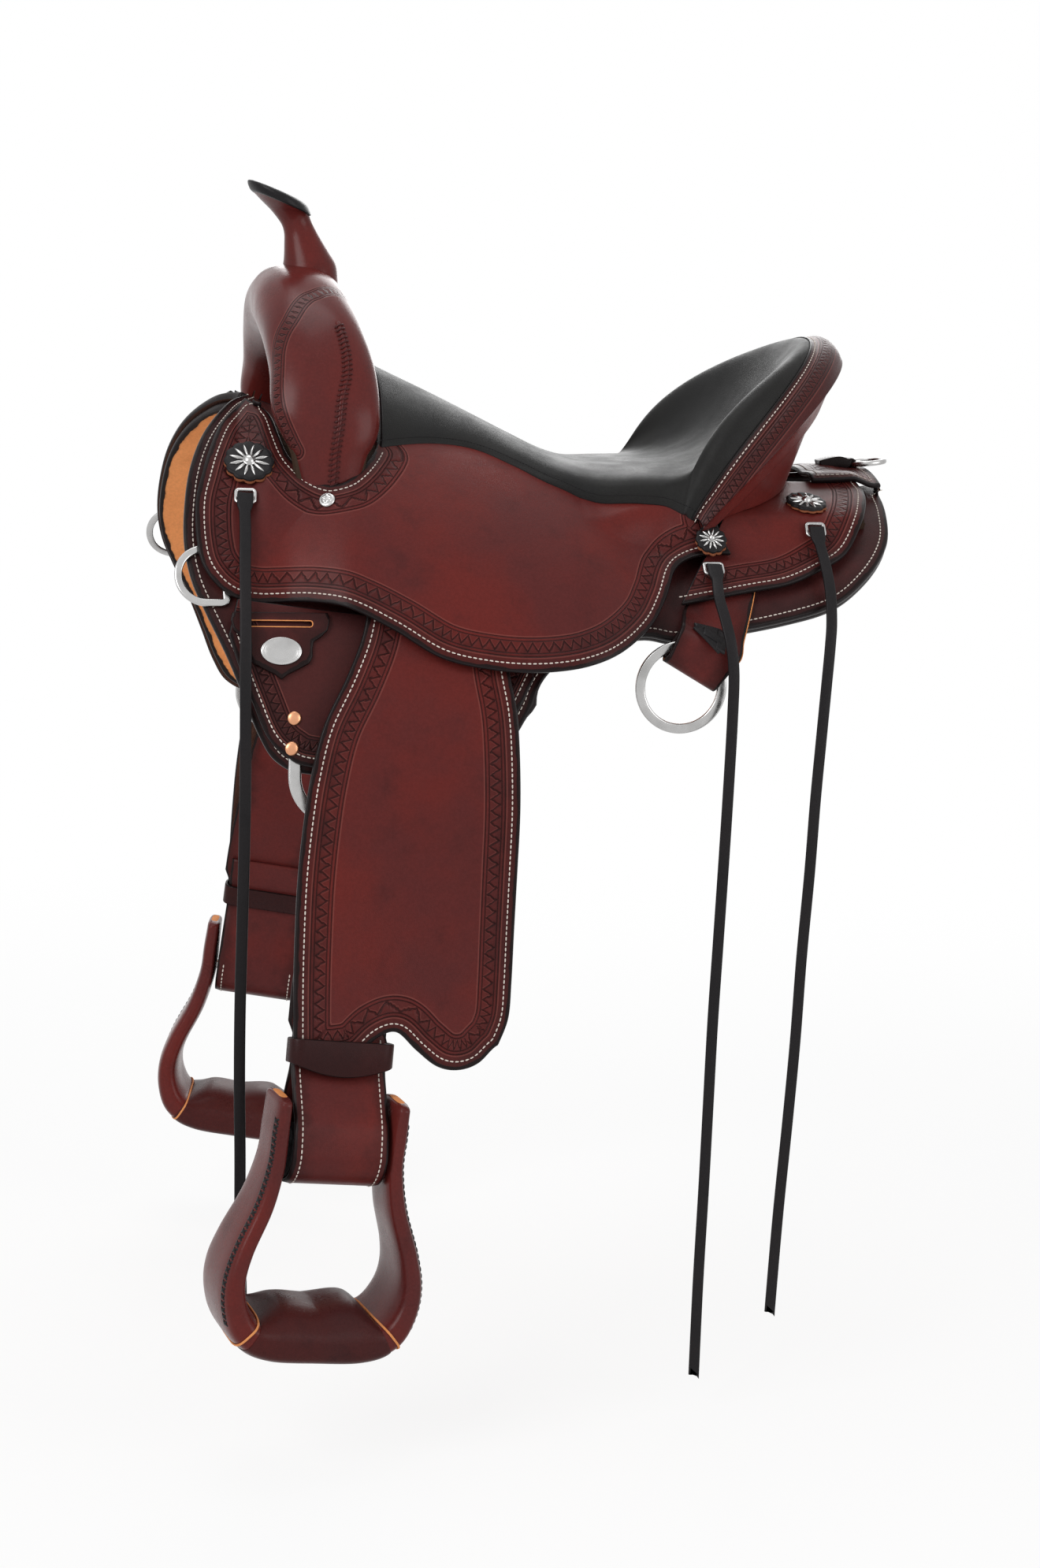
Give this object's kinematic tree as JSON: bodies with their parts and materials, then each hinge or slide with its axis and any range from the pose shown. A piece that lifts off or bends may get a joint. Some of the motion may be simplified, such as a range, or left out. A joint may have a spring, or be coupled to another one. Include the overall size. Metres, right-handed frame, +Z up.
{
  "type": "western saddle",
  "caption": "Western trail saddle of reddish brown tooled leather with a black padded seat, a horn, hanging fenders and turning stirrups, rigging rings and strings.",
  "frame": {"origin": "on the centre plane at the underside of the tree bars, near the middle of the bars", "axes": "-X to the front (horn), -Y to the near (left) side, +Z up"},
  "size_m": [0.6282, 0.6944, 0.9625],
  "materials": {
    "oxblood_leather": "satin",
    "dark_leather": "satin",
    "black_leather": "satin",
    "seat_leather": "soft satin",
    "lining_leather": "matt",
    "steel": "polished",
    "copper": "polished",
    "tree_wood": "matt",
    "strainer_steel": "plain",
    "horn_iron": "plain",
    "sleeve_plastic": "plain"
  },
  "bodies": {
    "saddle": {"tree_bar_left": "tree_wood", "tree_bar_right": "tree_wood", "tree_fork": "tree_wood", "tree_cantle": "tree_wood", "ground_seat": "strainer_steel", "horn_core": "horn_iron", "horn_wrap": "oxblood_leather", "horn_cap": "black_leather", "fork_cover": "oxblood_leather", "seat_pad": "seat_leather", "cantle_back": "oxblood_leather", "cantle_binding": "oxblood_leather", "seat_jockey_left": "oxblood_leather", "seat_jockey_right": "oxblood_leather", "rear_jockey_left": "oxblood_leather", "rear_jockey_right": "oxblood_leather", "back_strip": "oxblood_leather", "crupper_tab": "oxblood_leather", "skirt_left": "oxblood_leather", "skirt_right": "oxblood_leather", "lining_left": "lining_leather", "lining_right": "lining_leather", "rigging_plate_left": "dark_leather", "rigging_plate_right": "dark_leather", "rigging_rivets": "copper", "front_dee_left": "steel", "front_dee_right": "steel", "latigo_keeper_left": "dark_leather", "latigo_keeper_right": "dark_leather", "keeper_badges": "steel", "breast_dee_left": "steel", "breast_dee_right": "steel", "rear_strap_left": "oxblood_leather", "rear_strap_right": "oxblood_leather", "concho_rosettes": "black_leather", "star_conchos": "steel", "string_clips": "steel", "jockey_screws": "steel", "string_front_left": "black_leather", "string_mid_left": "black_leather", "string_rear_left": "black_leather", "leather_loop_left": "oxblood_leather", "leather_loop_right": "oxblood_leather"},
    "fender_left": {"fender_left": "oxblood_leather", "stirrup_leather_left": "oxblood_leather", "hobble_strap_left": "dark_leather", "stirrup_sleeve_left": "sleeve_plastic"},
    "stirrup_left": {"stirrup_left": "oxblood_leather", "stirrup_bolt_left": "steel"},
    "rear_ring_left": {"rear_ring_left": "steel"},
    "fender_right": {"fender_right": "oxblood_leather", "stirrup_leather_right": "oxblood_leather", "hobble_strap_right": "dark_leather", "stirrup_sleeve_right": "sleeve_plastic"},
    "stirrup_right": {"stirrup_right": "oxblood_leather", "stirrup_bolt_right": "steel"},
    "rear_ring_right": {"rear_ring_right": "steel"},
    "crupper_ring": {"crupper_ring": "steel"}
  },
  "joints": [
    {"name": "fender_swing_left", "type": "hinge", "parent": "saddle", "child": "fender_left", "pos_m": [-0.134, -0.18972, -0.01], "axis": [0, -0.9272, 0.3746], "range_deg": [-10, 12]},
    {"name": "stirrup_swing_left", "type": "hinge", "parent": "fender_left", "child": "stirrup_left", "pos_m": [-0.222, -0.29292, -0.449], "axis": [0.9775, 0.1724, -0.1219], "range_deg": [-70, 4]},
    {"name": "rear_ring_turn_left", "type": "hinge", "parent": "saddle", "child": "rear_ring_left", "pos_m": [0.07504, -0.20212, -0.07641], "axis": [0.866, 0, -0.5], "range_deg": [-6, 12]},
    {"name": "fender_swing_right", "type": "hinge", "parent": "saddle", "child": "fender_right", "pos_m": [-0.134, 0.18972, -0.01], "axis": [0, -0.9272, -0.3746], "range_deg": [-10, 12]},
    {"name": "stirrup_swing_right", "type": "hinge", "parent": "fender_right", "child": "stirrup_right", "pos_m": [-0.222, 0.29292, -0.449], "axis": [-0.9775, 0.1724, 0.1219], "range_deg": [-70, 4]},
    {"name": "rear_ring_turn_right", "type": "hinge", "parent": "saddle", "child": "rear_ring_right", "pos_m": [0.07504, 0.20212, -0.07641], "axis": [-0.866, 0, 0.5], "range_deg": [-6, 12]},
    {"name": "crupper_ring_turn", "type": "hinge", "parent": "saddle", "child": "crupper_ring", "pos_m": [0.25374, 0, 0.06919], "axis": [0, 1, 0], "range_deg": [-150, 0]}
  ]
}
